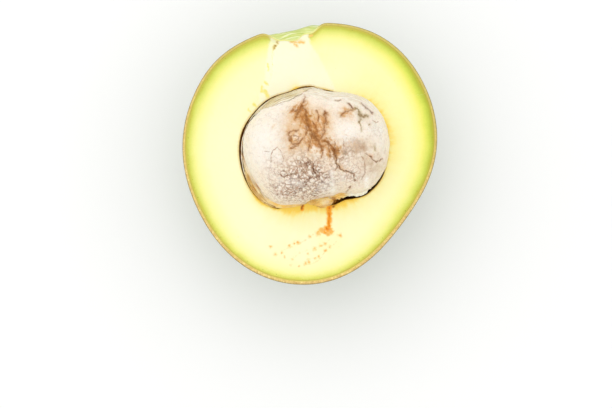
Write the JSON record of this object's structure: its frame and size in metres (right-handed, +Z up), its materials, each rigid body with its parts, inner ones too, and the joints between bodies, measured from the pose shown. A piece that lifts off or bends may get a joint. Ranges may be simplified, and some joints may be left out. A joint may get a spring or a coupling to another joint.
{
  "type": "avocado half",
  "caption": "Half of a round avocado cut lengthwise through the stem end, its seed and torn seed coat still in the cavity; it rests on its skin with the cut face up.",
  "frame": {"origin": "middle of the flat spot where the skin rests, straight below the middle of the cut face and at the bottom of the bounding box", "axes": "+Z up out of the cut face, +Y in the cut face towards the stem end, +X in the cut face to the right of it"},
  "size_m": [0.1041, 0.1048, 0.0721],
  "materials": {
    "flesh": "satin",
    "skin": "satin",
    "seed": "matte",
    "seed_coat": "matte"
  },
  "bodies": {
    "root": {"fruit_half": "flesh", "seed": "seed", "seed_coat": "seed_coat"}
  },
  "joints": []
}
